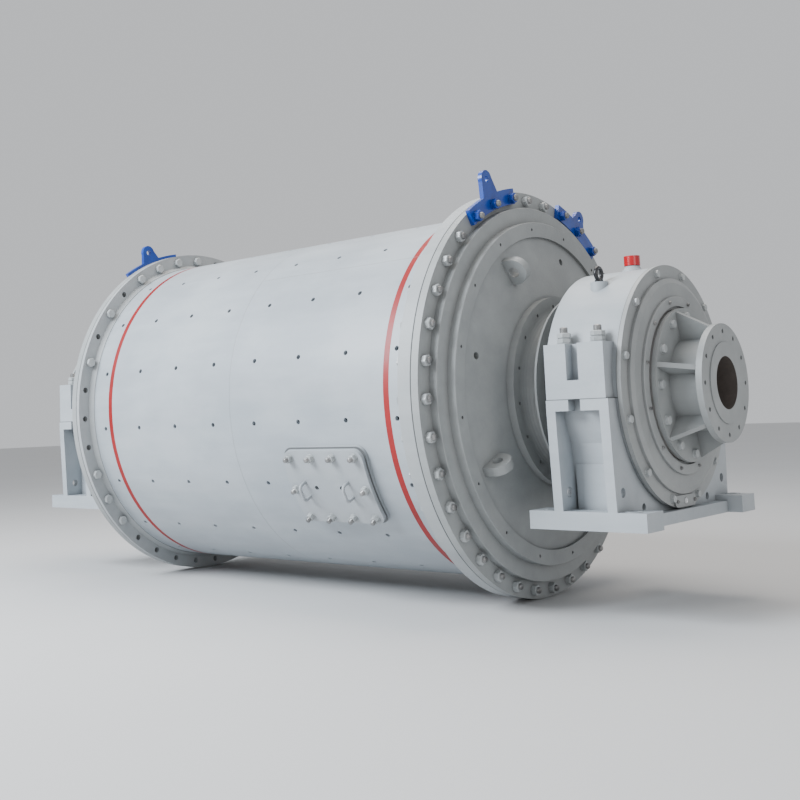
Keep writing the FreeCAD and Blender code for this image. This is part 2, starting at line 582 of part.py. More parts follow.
    # covers on the outer and the inner face
    cover_bore = JOURNAL_R + COVER_BORE_GAP
    t0 = BARREL_S1
    t1 = t0 + COVER_RIM_T
    t2 = t1 + COVER_STEP1_T
    t3 = t2 + COVER_STEP2_T
    t4 = t3 + COVER_STEP3_T
    outer = revolve([
        (t0, cover_bore), (t0, COVER_RIM_R), (t1, COVER_RIM_R), (t1, COVER_STEP1_R),
        (t2, COVER_STEP1_R), (t3, COVER_STEP2_R), (t3, COVER_STEP3_R), (t4 - 4, COVER_STEP3_R),
        (t4, COVER_STEP3_R - 4), (t4, COVER_MOUTH_R), (t3, COVER_MOUTH_R), (t3, cover_bore)], sign)
    save(outer, end + "_outer_cover")
    u1 = BARREL_S0 - INNER_COVER_T
    u2 = u1 - INNER_STEP_T
    inner = revolve([
        (BARREL_S0, cover_bore), (BARREL_S0, INNER_COVER_R), (u1, INNER_COVER_R),
        (u1, INNER_STEP_R), (u2, INNER_STEP_R), (u2, cover_bore)], sign)
    save(inner, end + "_inner_cover")

    # sight plate low on the outer cover
    plate_s = BARREL_S1 + COVER_RIM_T
    sight_z = -(COVER_RIM_R + COVER_STEP1_R) / 2.0
    sight = block(plate_s, plate_s + SIGHT_T, -SIGHT_W / 2, SIGHT_W / 2,
                  sight_z - SIGHT_H / 2, sight_z + SIGHT_H / 2, sign)
    corner_edges = [e for e in sight.Edges if abs(e.BoundBox.XLength - SIGHT_T) < 1e-6]
    sight = sight.makeFillet(SIGHT_H / 2 - 1, corner_edges)
    save(sight, end + "_sight_plate")

    # lifting eyes on the two bosses of the cap
    eyes = []
    for side in (-1, 1):
        seat_z = AXIS_Z + crown_z + EYE_BOSS_H
        seat_at = V(eye_x, side * EYE_Y, seat_z)
        shank = Part.makeCylinder(EYE_SHANK_R, EYE_SHANK_H, seat_at, ZDIR)
        ring_at = seat_at + V(0, 0, EYE_SHANK_H + EYE_RING_R)
        eyes.append(shank.fuse(Part.makeTorus(EYE_RING_R, EYE_ROD_R, ring_at, XDIR)))
    save(Part.makeCompound(eyes), end + "_lifting_eyes")

    # breather cap on the crown of the barrel
    crown = V(world_x(BEARING_S, sign), 0, AXIS_Z + BARREL_R)
    stem = Part.makeCylinder(BREATHER_STEM_R, BREATHER_STEM_H + 5, crown, ZDIR)
    hood = Part.makeCylinder(BREATHER_R, BREATHER_H, crown + V(0, 0, BREATHER_STEM_H), ZDIR)
    save(stem.fuse(hood).removeSplitter(), end + "_breather")
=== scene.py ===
# %% [markdown]
# # Ball mill: the looks
#
# A ball mill is a steel drum that turns on two hollow trunnions. Its shell is rolled plate,
# its heads and bearing housings are castings, and the whole machine is painted light grey.
# The packed CAD model already has the true shapes, so this lesson adds three things:
# paint with real detail, the hundreds of fasteners, and a studio to look at them in.

# %% Load the packed model
import json
import math

import bmesh
import bpy
from mathutils import Matrix, Vector


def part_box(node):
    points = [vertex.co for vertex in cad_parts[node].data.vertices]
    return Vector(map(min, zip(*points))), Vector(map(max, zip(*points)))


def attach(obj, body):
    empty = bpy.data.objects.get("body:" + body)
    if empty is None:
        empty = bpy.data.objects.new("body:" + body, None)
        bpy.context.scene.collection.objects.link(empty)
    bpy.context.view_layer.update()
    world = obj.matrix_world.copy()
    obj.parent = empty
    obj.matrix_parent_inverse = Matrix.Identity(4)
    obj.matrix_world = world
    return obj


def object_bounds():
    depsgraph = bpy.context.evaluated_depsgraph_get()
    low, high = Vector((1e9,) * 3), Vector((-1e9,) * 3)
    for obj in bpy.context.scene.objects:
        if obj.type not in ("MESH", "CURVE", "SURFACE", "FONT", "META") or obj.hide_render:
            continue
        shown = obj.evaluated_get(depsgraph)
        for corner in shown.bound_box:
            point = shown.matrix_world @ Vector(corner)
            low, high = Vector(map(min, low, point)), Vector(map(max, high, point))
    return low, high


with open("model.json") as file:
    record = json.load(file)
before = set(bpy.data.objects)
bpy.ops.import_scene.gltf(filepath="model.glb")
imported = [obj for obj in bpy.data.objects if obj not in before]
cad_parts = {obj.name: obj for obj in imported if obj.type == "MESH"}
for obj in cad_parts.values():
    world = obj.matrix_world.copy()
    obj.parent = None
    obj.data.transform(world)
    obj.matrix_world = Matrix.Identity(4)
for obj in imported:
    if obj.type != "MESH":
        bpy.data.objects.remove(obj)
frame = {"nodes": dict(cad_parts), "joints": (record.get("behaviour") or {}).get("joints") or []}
first_lo, first_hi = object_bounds()
print("machine measures", [round(v, 3) for v in (first_hi - first_lo)], "m")

# %% [markdown]
# ## Where things are
#
# Everything that turns is centred on the mill axis, so most places are easiest to name by a
# station along the axis, a radius and an angle. Angle 0 faces -Y, and 90 is straight up.
# Most stations are read off the CAD nodes, so they follow a change to the model. A place that
# no node's box gives is a named value in metres.

# %% Read the main stations
joint = frame["joints"][0]
AXIS_Z = joint["pos_m"][2]
MID_X = joint["pos_m"][0]
ENDS = (("feed", 1.0), ("discharge", -1.0))


def outward(node, sign):
    """Outermost distance of a node from mid-shell, on one side."""
    lo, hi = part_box(node)
    return max(sign * (lo.x - MID_X), sign * (hi.x - MID_X))


def inward(node, sign):
    lo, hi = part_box(node)
    return min(sign * (lo.x - MID_X), sign * (hi.x - MID_X))


def radius(node):
    """Outside radius of a node that is round about the mill axis."""
    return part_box(node)[1].y


def on_axis(station, sign, angle, r):
    a = math.radians(angle)
    return Vector((MID_X + sign * station, -r * math.cos(a), AXIS_Z + r * math.sin(a)))


SHELL_R = radius("shell")
JOINT_S = outward("shell", 1.0)
BOLT_CIRCLE_OUT = 0.056      # bolt circle of the flanges, outside the shell
BOLT_R = SHELL_R + BOLT_CIRCLE_OUT
print("shell radius", round(SHELL_R, 3), "flange joint at", round(JOINT_S, 3))

# %% [markdown]
# ## Shader maths as plain sums
#
# A procedural finish is a formula over the object's own coordinates. Wiring it by hand hides
# the formula, so a small class wraps one output socket: adding or multiplying two of them
# adds the Math node that does it. Every node comes from one helper, which takes its kind,
# its settings and what goes into its sockets. The same helper builds the Geometry Nodes.

# %% A socket that can be added and multiplied
def add_node(tree, kind, settings=None, values=None):
    """Any node: settings first, then a number, a socket or a Field for each input."""
    node = tree.nodes.new(kind)
    for key, value in (settings or {}).items():
        setattr(node, key, value)
    for key, value in (values or {}).items():
        value = value.socket if isinstance(value, Field) else value
        if isinstance(value, bpy.types.NodeSocket):
            tree.links.new(value, node.inputs[key])
        else:
            node.inputs[key].default_value = value
    return node


class Field:
    """One output socket, with the operators that this script uses."""

    def __init__(self, tree, socket):
        self.tree = tree
        self.socket = socket

    def math(self, operation, *others):
        values = dict(enumerate((self, *others)))
        return Field(self.tree, add_node(self.tree, "ShaderNodeMath", {"operation": operation},
                                         values).outputs[0])

    def __add__(self, o):
        return self.math("ADD", o)

    def __radd__(self, o):
        return self.math("ADD", o)

    def __sub__(self, o):
        return self.math("SUBTRACT", o)

    def __rsub__(self, o):
        return self.math("MULTIPLY_ADD", -1.0, o)

    def __mul__(self, o):
        return self.math("MULTIPLY", o)

    def __rmul__(self, o):
        return self.math("MULTIPLY", o)

    def __neg__(self):
        return self.math("MULTIPLY", -1.0)

    def __abs__(self):
        return self.math("ABSOLUTE")

    def sqrt(self):
        return self.math("SQRT")

    def atan2(self, o):
        return self.math("ARCTAN2", o)

    def most(self, o):
        return self.math("MAXIMUM", o)

    def step(self, lo, hi):
        """0 below lo, 1 above hi, smooth between."""
        node = add_node(self.tree, "ShaderNodeMapRange", {"interpolation_type": "SMOOTHSTEP"},
                        {"From Min": lo, "From Max": hi, "Value": self})
        return Field(self.tree, node.outputs["Result"])

    def band(self, centre, half, soft):
        """1 within half of centre, fading to 0 over soft."""
        return 1.0 - abs(self - centre).step(half, half + soft)


print("a Field knows", len([name for name in vars(Field) if callable(getattr(Field, name))]),
      "operations")

# %% [markdown]
# A paint is one material. It offers the coordinates that the finishes are written in: x along
# the mill, the height over the mill axis, and r, the distance from that axis. Only what a
# texture bake can carry is driven by a field; everything else is a constant.

# %% One node material
class Paint:
    def __init__(self, name):
        self.material = bpy.data.materials.new(name)
        self.material.use_nodes = True
        self.tree = self.material.node_tree
        self.shader = self.tree.nodes["Principled BSDF"]
        self.object = self.node("ShaderNodeTexCoord", "Object")
        split = add_node(self.tree, "ShaderNodeSeparateXYZ", None, {0: self.object})
        self.x, self.y, self.z = (Field(self.tree, socket) for socket in split.outputs)
        self.height = self.z - AXIS_Z
        self.r = (self.y * self.y + self.height * self.height).sqrt()

    def node(self, kind, out, settings=None, values=None):
        return Field(self.tree, add_node(self.tree, kind, settings, values).outputs[out])

    def noise(self, scale, detail=3.0, rough=0.5, stretch=(1.0, 1.0, 1.0)):
        place_at = self.node("ShaderNodeMapping", "Vector", None,
                             {"Vector": self.object, "Scale": stretch})
        return self.node("ShaderNodeTexNoise", "Fac", None,
                         {"Vector": place_at, "Scale": scale, "Detail": detail, "Roughness": rough})

    def mix(self, share, a, b):
        """Colour a where share is 0 and colour b where it is 1."""
        a, b = (c if isinstance(c, Field) else (*c, 1.0) for c in (a, b))
        return self.node("ShaderNodeMix", 2, {"data_type": "RGBA"}, {0: share, 6: a, 7: b})

    def fix(self, **values):
        for key, value in values.items():
            self.shader.inputs[key.replace("_", " ")].default_value = value

    def drive(self, **fields):
        for key, field in fields.items():
            self.tree.links.new(field.socket, self.shader.inputs[key.replace("_", " ")])

    def relief(self, height, depth):
        """Bump whose height field counts in parts of depth metres."""
        self.drive(Normal=self.node("ShaderNodeBump", "Normal", None,
                                    {"Strength": 1.0, "Distance": depth, "Height": height}))

# %% [markdown]
# ## Grey enamel on plate
#
# The shell is sprayed in light grey enamel over rolled plate. Up close it isn't even: the
# film is thinner in places, the spray gun left faint streaks along the axis, and specks of
# dust are caught in it. Two red rings mark where the drum may be slung. The plates meet in
# one weld round mid-shell and one along each half, ground nearly flush. The inside of the
# drum is left in brown primer.

# %% The enamel film that every grey part shares
def grey_film(paint, low, high):
    """Uneven enamel: its colour, how thick it is, its roughness and the dust in it."""
    cloud = paint.noise(1.7, 5.0, 0.55)
    streak = paint.noise(9.0, 4.0, 0.6, (0.25, 1.0, 1.0))
    speck = paint.noise(260.0, 2.0, 0.5)
    film = (cloud * 0.5 + streak * 0.35 + speck * 0.15).step(0.36, 0.66)
    rough = 0.34 + streak * 0.16 + cloud * 0.10
    return paint.mix(film, low, high), film, rough, speck


# %% The shell's own paint
RING_S = 1.184              # sling rings, from mid-shell
RING_HALF = 0.0185
RING_SOFT = 0.0012          # how far the edge of the ring fades
WELD_X = MID_X - 0.02       # weld round the shell
WELD_TURNS = (46.0, -130.0)     # weld along the feed half, and along the discharge half
WELD_HALF = 0.007
WELD_HALF_TURN = 0.35
PLATE_INSIDE = SHELL_R - 0.025  # between the two faces of the plate


def weld_beads(paint):
    """1 on the three welds of the shell."""
    turn = paint.height.atan2(-paint.y) * (180.0 / math.pi)
    from_middle = paint.x - MID_X
    feed_side = from_middle.step(-0.02, 0.02)
    waver = (paint.noise(11.0, 2.0) - 0.5) * 0.006
    around = (paint.x + waver).band(WELD_X, 0.0, WELD_HALF)
    feed_seam = turn.band(WELD_TURNS[0], 0.0, WELD_HALF_TURN) * feed_side
    discharge_seam = turn.band(WELD_TURNS[1], 0.0, WELD_HALF_TURN) * (1.0 - feed_side)
    return around.most(feed_seam).most(discharge_seam)


def shell_paint():
    paint = Paint("shell_enamel")
    colour, film, rough, speck = grey_film(paint, (0.325, 0.36, 0.392), (0.405, 0.44, 0.468))
    wobble = (paint.noise(6.0, 2.0) - 0.5) * 0.003
    ring = (abs(paint.x - MID_X) + wobble).band(RING_S, RING_HALF, RING_SOFT)
    colour = paint.mix(ring, colour, paint.mix(film, (0.24, 0.0, 0.001), (0.32, 0.0, 0.002)))
    weld = weld_beads(paint)
    colour = paint.mix(weld * 0.35, colour, (0.20, 0.21, 0.215))
    inside = 1.0 - paint.r.step(PLATE_INSIDE - 0.001, PLATE_INSIDE + 0.001)
    primer = paint.mix(paint.noise(14.0, 4.0), (0.035, 0.022, 0.018), (0.075, 0.05, 0.042))
    peel = paint.noise(95.0, 2.0)
    paint.fix(Metallic=0.0, Coat_Roughness=0.22)
    paint.drive(Base_Color=paint.mix(inside, colour, primer), Roughness=rough + inside * 0.3,
                Coat_Weight=0.15 - inside * 0.15)
    paint.relief(speck * 0.05 + peel * 0.12 + ring * 0.25 + weld * 1.2, 0.0011)
    return paint.material


SHELL_PAINT = shell_paint()
print("shell paint has", len(SHELL_PAINT.node_tree.nodes), "nodes")

# %% [markdown]
# ## The same enamel on the heavy castings
#
# Heads, trunnions and bearing housings are castings, machined where they bolt together. Paint
# on a casting shows the sand grain below it. The corners of the steps are darkened with painted
# shade: an Ambient Occlusion node finds those corners, so the shade needs no hand painting. A
# thin dark line is left where two parts meet: each paint is told the planes of its own joints.

# %% Enamel for castings and for plain plate
JOINT_HALF = 0.0014         # dark line of a joint
CORNER_SHADE_REACH = 0.05         # how far the painted shade reaches out of a corner


def casting_paint(name, low, high, grain, joints=(), bare=None):
    """Enamel over sand grain; joints are (coordinate, place), bare adds unpainted metal."""
    paint = Paint(name)
    colour, film, rough, speck = grey_film(paint, low, high)
    sand = paint.noise(70.0, 4.0, 0.62)
    pit = paint.noise(31.0, 3.0, 0.6).step(0.62, 0.74)
    # Painted shade: the colour darkens where the Ambient Occlusion node finds a corner.
    light = paint.node("ShaderNodeAmbientOcclusion", "AO", {"samples": 6},
                       {"Distance": CORNER_SHADE_REACH})
    corner = 1.0 - light.step(0.35, 0.95)
    colour = paint.mix(corner * 0.4, colour, (0.10, 0.10, 0.098))
    for axis, place_at in joints:
        line = getattr(paint, axis).band(place_at, JOINT_HALF, 0.002)
        colour = paint.mix(line * 0.75, colour, (0.04, 0.04, 0.04))
    if bare is not None:
        colour, rough = bare(paint, colour, rough)
    paint.fix(Metallic=0.0, Coat_Roughness=0.3, Coat_Weight=0.12)
    paint.drive(Base_Color=colour, Roughness=rough + 0.06 + pit * 0.08)
    paint.relief(sand * grain + pit * (0.35 * grain) + speck * 0.04, 0.0013)
    return paint.material


# %% The greys of the castings and plates
COOL = ((0.335, 0.368, 0.395), (0.415, 0.445, 0.468))
COVER_S = inward("feed_outer_cover", 1.0)
COVER_SEAM = SHELL_R + 0.022        # under the manhole cover, from the mill axis
SPLIT_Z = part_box("feed_bearing_cap")[0].z
FLANGE_JOINTS = (("x", MID_X + JOINT_S), ("x", MID_X - JOINT_S))
COVER_JOINTS = (("x", MID_X + COVER_S), ("x", MID_X - COVER_S))
PLATE_PAINT = casting_paint("plate_enamel", (0.315, 0.335, 0.345), (0.385, 0.402, 0.408), 0.15,
                            FLANGE_JOINTS)
# The heads, end covers, hubs and trunnions get a darker grey than the shell, the housings and the
# nuts: painted shade for the end faces.
HEAD_PAINT = casting_paint("head_enamel", (0.268, 0.282, 0.284), (0.335, 0.35, 0.35), 0.75,
                           FLANGE_JOINTS)
HOUSING_PAINT = casting_paint("housing_enamel", *COOL, 0.6, (("z", SPLIT_Z), *COVER_JOINTS))
BASE_PAINT = casting_paint("base_enamel", *COOL, 0.6)
END_PAINT = casting_paint("end_cover_enamel", (0.27, 0.282, 0.284), (0.335, 0.348, 0.347), 0.6,
                          COVER_JOINTS)
HATCH_PAINT = casting_paint("hatch_enamel", (0.335, 0.362, 0.385), (0.415, 0.44, 0.458), 0.15,
                            (("r", COVER_SEAM),))

# %% [markdown]
# Two castings have a machined place that was never painted. The bore of the hub is brown with
# flash rust. The journal of the trunnion is ground steel, where it runs in its bearing.

# %% Unpainted metal on the hub and the trunnion
HUB_BORE_R = 0.138
JOURNAL_R = 0.400


def rusty_bore(paint, colour, rough):
    bore = 1.0 - paint.r.step(HUB_BORE_R + 0.0003, HUB_BORE_R + 0.0015)
    rust = paint.mix(paint.noise(22.0, 6.0, 0.7), (0.045, 0.04, 0.038), (0.13, 0.105, 0.09))
    return paint.mix(bore, colour, rust), rough + bore * 0.25


def ground_journal(paint, colour, rough):
    ground = 1.0 - paint.r.step(JOURNAL_R + 0.0005, JOURNAL_R + 0.002)
    steel = paint.mix(paint.noise(40.0, 3.0), (0.30, 0.29, 0.28), (0.42, 0.41, 0.40))
    return paint.mix(ground, colour, steel), rough


# The hub and the trunnion take the same darker grey, painted shade for the end faces.
HUB_PAINT = casting_paint("hub_enamel", (0.27, 0.285, 0.287), (0.34, 0.354, 0.354), 0.4, (),
                          rusty_bore)
TRUNNION_PAINT = casting_paint("trunnion_enamel", (0.26, 0.272, 0.274), (0.325, 0.338, 0.336),
                               0.6, (), ground_journal)
print("joints at", [round(place_at, 3) for _, place_at in (*FLANGE_JOINTS, *COVER_JOINTS)])

# %% [markdown]
# ## Accents
#
# The slinging brackets come in blue enamel so the rigger sees them, the breather is red
# plastic, and the lifting eyes are forged and blackened. Fasteners were painted with the
# machine, so a nut is grey with the enamel broken in spots, and a stud end is bare.

# %% Blue, red, black, and fastener metal
def simple_paint(name, low, high, rough, coat, grain, wear=None, metal=0.0):
    paint = Paint(name)
    cloud = paint.noise(8.0, 4.0)
    fine = paint.noise(180.0, 3.0)
    film = (cloud * 0.7 + fine * 0.3).step(0.35, 0.65)
    colour = paint.mix(film, low, high)
    rough = rough + cloud * 0.12
    if wear is not None:
        rub = paint.noise(55.0, 5.0, 0.7).step(0.60, 0.70)
        colour = paint.mix(rub * 0.7, colour, wear)
        rough = rough + rub * 0.15
    paint.fix(Metallic=metal, Coat_Weight=coat, Coat_Roughness=0.12)
    paint.drive(Base_Color=colour, Roughness=rough)
    paint.relief(fine * grain + cloud * 0.1, 0.0008)
    return paint.material


BLUE_PAINT = simple_paint("bracket_enamel", (0.0, 0.032, 0.26), (0.001, 0.058, 0.37), 0.28, 0.3,
                          0.2, (0.02, 0.06, 0.16))
RED_CAP = simple_paint("breather_plastic", (0.42, 0.0, 0.006), (0.55, 0.002, 0.010), 0.22, 0.5,
                       0.02)
BLACK_OXIDE = simple_paint("forged_black", (0.006, 0.006, 0.008), (0.018, 0.018, 0.022), 0.30,
                           0.3, 0.3)
NUT_PAINT = simple_paint("fastener_enamel", (0.33, 0.35, 0.355), (0.43, 0.45, 0.452), 0.34, 0.2, 0.3,
                         (0.20, 0.195, 0.185))
STUD_STEEL = simple_paint("stud_steel", (0.20, 0.20, 0.20), (0.36, 0.355, 0.35), 0.34, 0.0, 0.4,
                          (0.12, 0.09, 0.07), 0.8)
BRIGHT_PLUG = simple_paint("plug_zinc", (0.55, 0.56, 0.57), (0.72, 0.73, 0.74), 0.25, 0.0, 0.2,
                           (0.40, 0.40, 0.40), 0.9)
print("finishes so far:", ", ".join(sorted(m.name for m in bpy.data.materials)))

# %% [markdown]
# A CAD node's name says what it is, so a short table from a part of the name to a paint gives
# each one its finish. Nodes that share a finish share one material.

# %% Give every CAD node its finish
# The first entry that fits a node's name counts; the last fits every name.
FINISHES = (("shell_flange", PLATE_PAINT), ("shell", SHELL_PAINT), ("manhole", HATCH_PAINT),
            ("lifting_brackets", BLUE_PAINT), ("lifting_eyes", BLACK_OXIDE), ("breather", RED_CAP),
            ("head", HEAD_PAINT), ("trunnion", TRUNNION_PAINT), ("hub", HUB_PAINT),
            ("outer_cover", END_PAINT), ("inner_cover", END_PAINT), ("sight", END_PAINT),
            ("base", BASE_PAINT), ("", HOUSING_PAINT))
for name, node in sorted(frame["nodes"].items()):
    finish = next(material for part, material in FINISHES if part in name)
    if not node.material_slots:
        node.data.materials.append(finish)
    for material_slot in node.material_slots:
        material_slot.material = finish
print("painted", len(frame["nodes"]), "CAD nodes")

# %% [markdown]
# ## One fastener of each kind
#
# A hex nut is a prism whose corners are turned down to a cone, a washer is a flat disc, whose
# hole the nut hides, and a stud end is a threaded rod with a chamfer. Each is built once,
# standing on the XY plane with +Z away from the surface. The widths across the flats are the
# ISO ones for the thread.

# %% Turned and hexagonal solids
def turned(bm, profile, segments):
    """Closed solid of revolution about Z from (radius, height) pairs, ends on the axis."""
    rings = []
    for r, h in profile:
        if r < 1e-7:
            rings.append([bm.verts.new((0.0, 0.0, h))])
        else:
            rings.append([bm.verts.new((r * math.cos(2 * math.pi * i / segments),
                                        r * math.sin(2 * math.pi * i / segments), h))
                          for i in range(segments)])
    for low, high in zip(rings, rings[1:]):
        for i in range(segments):
            j = (i + 1) % segments
            quad = [low[i % len(low)], low[j % len(low)], high[j % len(high)], high[i % len(high)]]
            quad = [v for k, v in enumerate(quad) if v not in quad[:k]]
            if len(quad) > 2:
                bm.faces.new(quad)


def hexagon(bm, flats, z0, z1, chamfer):
    """Hex prism with its corners turned down at the top and the bottom."""
    def outline(z, corner, flat):
        row = []
        for i in range(12):
            a = math.pi * i / 6
            r = corner if i % 2 == 0 else flat
            row.append(bm.verts.new((r * math.cos(a), r * math.sin(a), z)))
        return row

    flat = flats / 2
    corner = flat / math.cos(math.pi / 6)
    rows = [outline(z0, flat * 0.985, flat * 0.985), outline(z0 + chamfer, corner, flat),
            outline(z1 - chamfer, corner, flat), outline(z1, flat * 0.96, flat * 0.96)]
    for low, high in zip(rows, rows[1:]):
        for i in range(12):
            j = (i + 1) % 12
            bm.faces.new((low[i], low[j], high[j], high[i]))
    bm.faces.new(list(reversed(rows[0])))
    bm.faces.new(rows[-1])


def finished(bm, name, angle=35.0):
    bmesh.ops.recalc_face_normals(bm, faces=bm.faces)
    mesh = bpy.data.meshes.new(name)
    bm.to_mesh(mesh)
    bm.free()
    mesh.polygons.foreach_set("use_smooth", [True] * len(mesh.polygons))
    mesh.set_sharp_from_angle(angle=math.radians(angle))
    return bpy.data.objects.new(name, mesh)


# %% [markdown]
# Four fasteners are made from those two solids: a nut on its washer, the end of a threaded
# stud, a bolt head, and a socket screw. The thread is rings, not a helix, because at this
# size nobody can see the pitch climb, and rings close without a seam.

# %% Nuts, studs, bolt heads and screws
def nut(name, flats, thick, washer_r, washer_t, stack=1):
    """Washer with one or two nuts on it."""
    bm = bmesh.new()
    turned(bm, [(0, 0), (washer_r, 0), (washer_r, washer_t - 0.001), (washer_r - 0.001, washer_t),
                (0, washer_t)], 32)
    for i in range(stack):
        z = washer_t + i * (thick + 0.001)
        hexagon(bm, flats, z, z + thick, flats * 0.045)
    return finished(bm, name)


def stud(name, r, z0, z1, pitch=0.004):
    """Threaded rod end with a chamfered tip."""
    bm = bmesh.new()
    profile = [(0, z0), (r * 0.93, z0)]
    z = z0 + pitch / 2
    while z < z1 - pitch:
        profile += [(r, z), (r * 0.93, z + pitch / 2)]
        z += pitch
    profile += [(r * 0.8, z1), (0, z1)]
    turned(bm, profile, 24)
    return finished(bm, name, 60.0)


def bolt_head(name, flats, thick, washer_r, washer_t):
    """Hex head on a washer."""
    bm = bmesh.new()
    turned(bm, [(0, 0), (washer_r, 0), (washer_r, washer_t - 0.0008),
                (washer_r - 0.0008, washer_t), (0, washer_t)], 28)
    hexagon(bm, flats, washer_t, washer_t + thick, flats * 0.05)
    return finished(bm, name)


def socket_screw(name, r, thick):
    """Low round screw with a socket sunk in its head, which is round at this size."""
    bm = bmesh.new()
    turned(bm, [(0, 0), (r, 0), (r, thick * 0.8), (r * 0.88, thick), (r * 0.5, thick),
                (r * 0.46, thick * 0.4), (0, thick * 0.35)], 20)
    return finished(bm, name)


# %% [markdown]
# ## Putting one fastener in hundreds of places
#
# Each ring of bolts is a set of points, and every point carries the direction that its bolt
# stands in. A small Geometry Nodes tree puts the fastener on each point, lines it up, and
# gives it a random turn about its own axis, because nobody tightens nuts to one angle. The
# seed is fixed, so the same nut stands the same way each time. The result is made plain mesh.

# %% The node tree that places fasteners
def placing_tree():
    tree = bpy.data.node_groups.new("place_fasteners", "GeometryNodeTree")
    ports = tree.interface
    for name, kind in (("Points", "Geometry"), ("Fastener", "Object"), ("Turn Seed", "Int"),
                       ("Finish", "Material")):
        ports.new_socket(name=name, in_out="INPUT", socket_type="NodeSocket" + kind)
    ports.new_socket(name="Mesh", in_out="OUTPUT", socket_type="NodeSocketGeometry")
    given = add_node(tree, "NodeGroupInput").outputs
    piece = add_node(tree, "GeometryNodeObjectInfo", None, {"Object": given["Fastener"]})
    along = add_node(tree, "GeometryNodeInputNamedAttribute", {"data_type": "FLOAT_VECTOR"},
                     {"Name": "along"})
    stand = add_node(tree, "FunctionNodeAlignRotationToVector", {"axis": "Z"},
                     {"Vector": along.outputs["Attribute"]})
    turn = add_node(tree, "FunctionNodeRandomValue", {"data_type": "FLOAT"},
                    {2: 0.0, 3: math.tau, "Seed": given["Turn Seed"]})
    spin = add_node(tree, "FunctionNodeAxisAngleToRotation", None,
                    {"Axis": (0.0, 0.0, 1.0), "Angle": turn.outputs[1]})
    both = add_node(tree, "FunctionNodeRotateRotation", {"rotation_space": "LOCAL"},
                    {"Rotation": stand.outputs["Rotation"], "Rotate By": spin.outputs["Rotation"]})
    put = add_node(tree, "GeometryNodeInstanceOnPoints", None,
                   {"Points": given["Points"], "Instance": piece.outputs["Geometry"],
                    "Rotation": both.outputs["Rotation"]})
    real = add_node(tree, "GeometryNodeRealizeInstances", None,
                    {"Geometry": put.outputs["Instances"]})
    coat = add_node(tree, "GeometryNodeSetMaterial", None,
                    {"Geometry": real.outputs["Geometry"], "Material": given["Finish"]})
    add_node(tree, "NodeGroupOutput", None, {"Mesh": coat.outputs["Geometry"]})
    return tree


PLACING = placing_tree()
INPUTS = {port.name: port.identifier for port in PLACING.interface.items_tree
          if port.in_out == "INPUT"}
print("placing tree takes", sorted(INPUTS))

# %% [markdown]
# The points are a throwaway mesh that carries the modifier. Its evaluated mesh is copied out,
# so what remains is one plain mesh for each kind of fastener, at the origin, on one body.

# %% Place one kind of fastener
SCENE = bpy.context.scene
placed = []


def place(name, fastener, spots, finish, body, slot, seed):
    """Plain mesh with the fastener at every (point, direction) spot."""
    points = bpy.data.meshes.new(name + "_points")
    points.from_pydata([tuple(point) for point, way in spots], [], [])
    along = points.attributes.new("along", "FLOAT_VECTOR", "POINT")
    along.data.foreach_set("vector", [c for point, way in spots for c in way.normalized()])
    carrier = bpy.data.objects.new(name + "_points", points)
    SCENE.collection.objects.link(carrier)
    if not fastener.users_collection:
        SCENE.collection.objects.link(fastener)
    modifier = carrier.modifiers.new("place", "NODES")
    modifier.node_group = PLACING
    modifier[INPUTS["Fastener"]] = fastener
    modifier[INPUTS["Turn Seed"]] = seed
    modifier[INPUTS["Finish"]] = finish
    bpy.context.view_layer.update()
    graph = bpy.context.evaluated_depsgraph_get()
    mesh = bpy.data.meshes.new_from_object(carrier.evaluated_get(graph))
    mesh.name = name
    bpy.data.objects.remove(carrier)
    bpy.data.meshes.remove(points)
    piece = bpy.data.objects.new(name, mesh)
    SCENE.collection.objects.link(piece)
    placed.append((piece, body, slot, len(spots)))


def ring(station, sign, face, angles, r):
    """Spots on a face square to the axis; face is +1 if the bolts stand outward."""
    way = Vector((sign * face, 0.0, 0.0))
    return [(on_axis(station, sign, a, r), way) for a in angles]


def every(step, first):
    """Angles all the way round, step degrees apart."""
    return [first + step * k for k in range(round(360.0 / step))]

# %% [markdown]
# ## Flange bolts
#
# Thirty-six M36 bolts hold the feed head to the shell, with their heads behind the shell's
# flange and their nuts and thread ends on the head. At the discharge end most holes are left
# open for the girth gear, and sixteen bolts hold the head for transport. Under the blue
# brackets the same bolts pass through the bracket too, so their nuts stand further out.

# %% Nuts and stud ends round both flanges
M36_NUT = nut("m36_nut", 0.055, 0.029, 0.0275, 0.002)
M36_STUD = stud("m36_stud", 0.018, 0.031, 0.046)
M36_HEAD = bolt_head("m36_head", 0.055, 0.0225, 0.0275, 0.002)
BRACKET_TURNS = (68.5, 118.5)
BRACKET_HALF_TURN = 11.5
FEED_TURNS = every(10.0, 8.5)
HELD_TURNS = [17.4, 37.4, 57.4, 67.4, 77.4, 87.4, 337.4, 327.4, 317.4, 107.4, 117.4, 127.4,
              197.4, 217.4, 237.4, 257.4]
DISCHARGE_FLANGE_T = 0.031
BRACKET_NUT_OUT = 0.012      # bracket nuts at the feed end sit outside the bolt circle


def under_bracket(angle):
    return any(abs((angle - b + 180.0) % 360.0 - 180.0) < BRACKET_HALF_TURN
               for b in BRACKET_TURNS)


